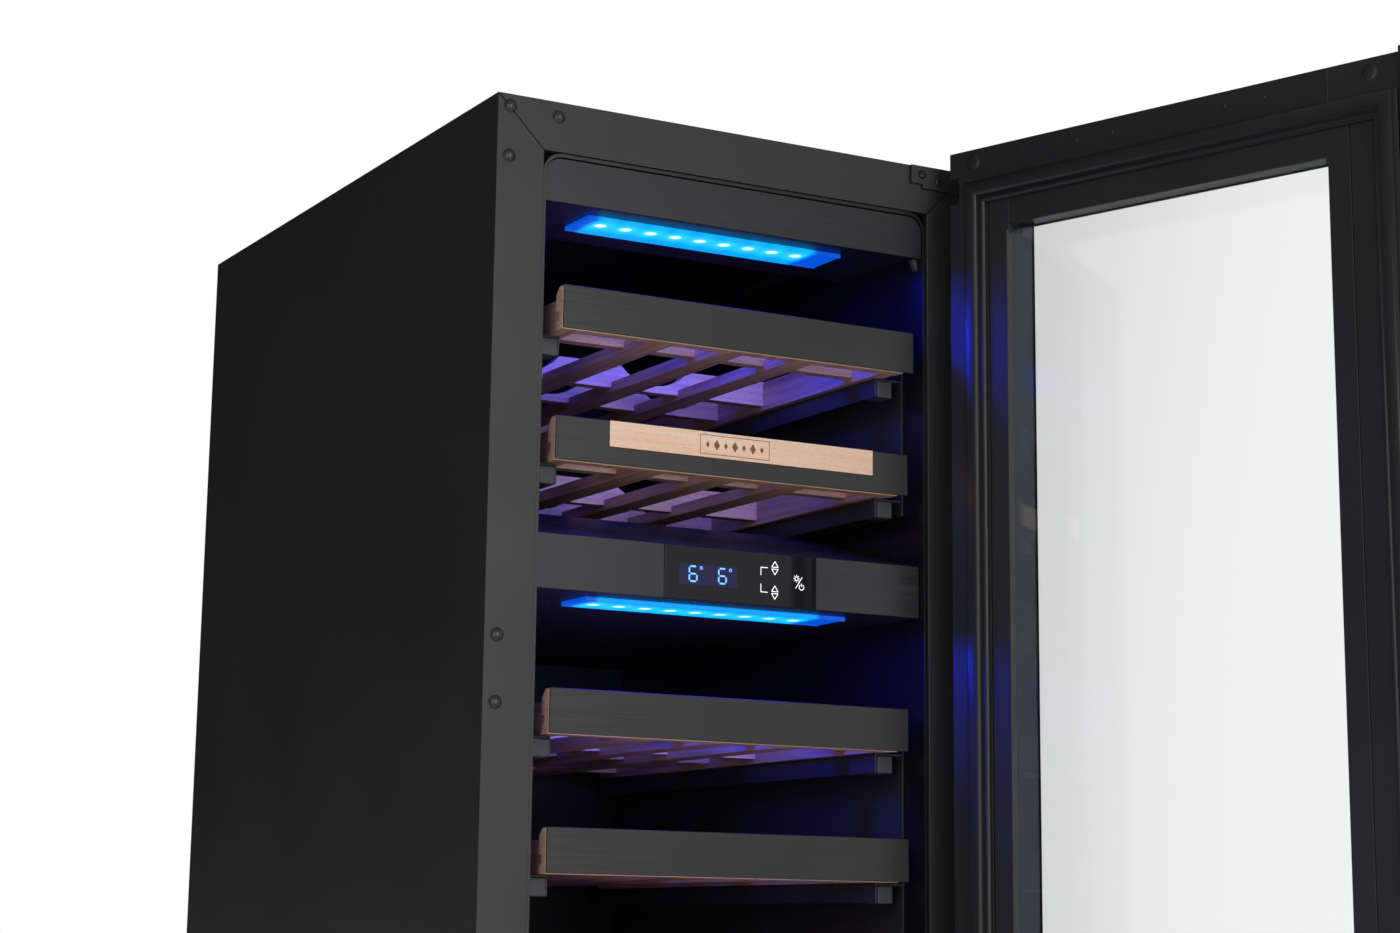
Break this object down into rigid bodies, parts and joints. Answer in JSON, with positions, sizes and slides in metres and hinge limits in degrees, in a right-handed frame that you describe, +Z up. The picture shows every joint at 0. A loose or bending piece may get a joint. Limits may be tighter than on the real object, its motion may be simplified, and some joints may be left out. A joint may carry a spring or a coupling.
{
  "type": "wine cooler",
  "caption": "Free-standing two-zone wine cooler with a glazed swing door, sliding bottle shelves, lit zones and a rear machine bay.",
  "frame": {"origin": "centre of the cabinet's flat underside, feet excluded", "axes": "+Z up through the cabinet's top; the front faces -Y; the door hinges on the +X side"},
  "size_m": [0.512, 0.9356, 0.8736],
  "materials": {
    "black_steel": "satin black powder coat",
    "zinc_steel": "zinc-coated sheet, dull",
    "trim_steel": "satin black coated strip",
    "brushed_black": "brushed along its length and coated black",
    "liner_plastic": "fine-grained black moulding",
    "black_plastic": "satin black moulding",
    "grey_plastic": "satin dark grey moulding",
    "rubber": "matt black",
    "foam": "rigid polyurethane foam",
    "beech": "planed and oiled beech",
    "aluminium": "mill finish",
    "black_aluminium": "black anodised, satin",
    "enamel_black": "glossy black stove enamel",
    "panel_glass": "black-backed glass, polished",
    "clear_glass": "clear, lightly tinted",
    "lamp_lens": "translucent lens over blue lamps",
    "circuit_board": "green lacquered board"
  },
  "bodies": {
    "cabinet": {"back_panel": "zinc_steel", "base_plate": "zinc_steel", "bottom_front_rail": "black_steel", "bottom_hinge_bracket": "black_steel", "compartment_partition": "zinc_steel", "compressor": "enamel_black", "compressor_cover": "zinc_steel", "condenser": "aluminium", "condenser_fan_frame": "black_plastic", "control_board": "circuit_board", "control_fascia": "brushed_black", "control_glass": "panel_glass", "cord_grommet": "rubber", "drain_tray": "grey_plastic", "insulation_foam": "foam", "kick_grille": "black_plastic", "left_side_panel": "black_steel", "liner": "liner_plastic", "lower_air_cover": "liner_plastic", "lower_evaporator": "aluminium", "lower_led_bar": "lamp_lens", "lower_left_shelf_support": "grey_plastic", "lower_right_shelf_support": "grey_plastic", "right_side_panel": "black_steel", "top_fascia": "brushed_black", "top_hinge_bracket": "black_steel", "top_panel": "black_steel", "upper_air_cover": "liner_plastic", "upper_evaporator": "aluminium", "upper_led_bar": "lamp_lens", "upper_left_shelf_support": "grey_plastic", "upper_right_shelf_support": "grey_plastic", "zone_divider": "liner_plastic"},
    "condenser_fan_rotor": {"condenser_fan": "black_plastic"},
    "door": {"door_frame": "black_plastic", "door_gasket": "rubber", "door_handle": "black_aluminium", "door_inner_pane": "clear_glass", "door_inner_trim": "black_plastic", "door_outer_glass": "clear_glass", "door_spacer": "aluminium"},
    "left_front_foot_screw": {"left_front_foot": "rubber"},
    "left_rear_foot_screw": {"left_rear_foot": "rubber"},
    "lower_fan_rotor": {"lower_fan": "black_plastic"},
    "right_front_foot_screw": {"right_front_foot": "rubber"},
    "right_rear_foot_screw": {"right_rear_foot": "rubber"},
    "shelf_1": {"shelf_1_front_trim": "trim_steel", "shelf_1_rack": "beech"},
    "shelf_2": {"shelf_2_front_trim": "trim_steel", "shelf_2_inlay": "beech", "shelf_2_rack": "beech"},
    "shelf_3": {"shelf_3_front_trim": "trim_steel", "shelf_3_rack": "beech"},
    "shelf_4": {"shelf_4_front_trim": "trim_steel", "shelf_4_rack": "beech"},
    "shelf_5": {"shelf_5_front_trim": "trim_steel", "shelf_5_rack": "beech"},
    "shelf_6": {"shelf_6_front_trim": "trim_steel", "shelf_6_rack": "beech"},
    "upper_fan_rotor": {"upper_fan": "black_plastic"}
  },
  "joints": [
    {"name": "door_hinge", "type": "hinge", "parent": "cabinet", "child": "door", "pos_m": [0.1802, -0.3007, 0.4], "axis": [0, 0, 1], "range_deg": [-108, 12]},
    {"name": "shelf_1_slide", "type": "slide", "parent": "cabinet", "child": "shelf_1", "axis": [0, -1, 0], "range_m": [-0.008, 0.242]},
    {"name": "shelf_2_slide", "type": "slide", "parent": "cabinet", "child": "shelf_2", "axis": [0, -1, 0], "range_m": [0, 0.25]},
    {"name": "shelf_3_slide", "type": "slide", "parent": "cabinet", "child": "shelf_3", "axis": [0, -1, 0], "range_m": [0, 0.25]},
    {"name": "shelf_4_slide", "type": "slide", "parent": "cabinet", "child": "shelf_4", "axis": [0, -1, 0], "range_m": [0, 0.25]},
    {"name": "shelf_5_slide", "type": "slide", "parent": "cabinet", "child": "shelf_5", "axis": [0, -1, 0], "range_m": [0, 0.25]},
    {"name": "shelf_6_slide", "type": "slide", "parent": "cabinet", "child": "shelf_6", "axis": [0, -1, 0], "range_m": [0, 0.15]},
    {"name": "upper_fan_spin", "type": "hinge", "parent": "cabinet", "child": "upper_fan_rotor", "pos_m": [0, 0.1897, 0.6803], "axis": [0, 1, 0], "continuous": true},
    {"name": "lower_fan_spin", "type": "hinge", "parent": "cabinet", "child": "lower_fan_rotor", "pos_m": [0, 0.1897, 0.357], "axis": [0, 1, 0], "continuous": true},
    {"name": "condenser_fan_spin", "type": "hinge", "parent": "cabinet", "child": "condenser_fan_rotor", "pos_m": [-0.115, 0.162, 0.085], "axis": [0, 1, 0], "continuous": true},
    {"name": "left_front_foot_screw_turn", "type": "hinge", "parent": "cabinet", "child": "left_front_foot_screw", "pos_m": [-0.16, -0.2375, 0], "axis": [0, 0, 1], "continuous": true},
    {"name": "left_rear_foot_screw_turn", "type": "hinge", "parent": "cabinet", "child": "left_rear_foot_screw", "pos_m": [-0.16, 0.2375, 0], "axis": [0, 0, 1], "continuous": true},
    {"name": "right_front_foot_screw_turn", "type": "hinge", "parent": "cabinet", "child": "right_front_foot_screw", "pos_m": [0.16, -0.2375, 0], "axis": [0, 0, 1], "continuous": true},
    {"name": "right_rear_foot_screw_turn", "type": "hinge", "parent": "cabinet", "child": "right_rear_foot_screw", "pos_m": [0.16, 0.2375, 0], "axis": [0, 0, 1], "continuous": true}
  ]
}
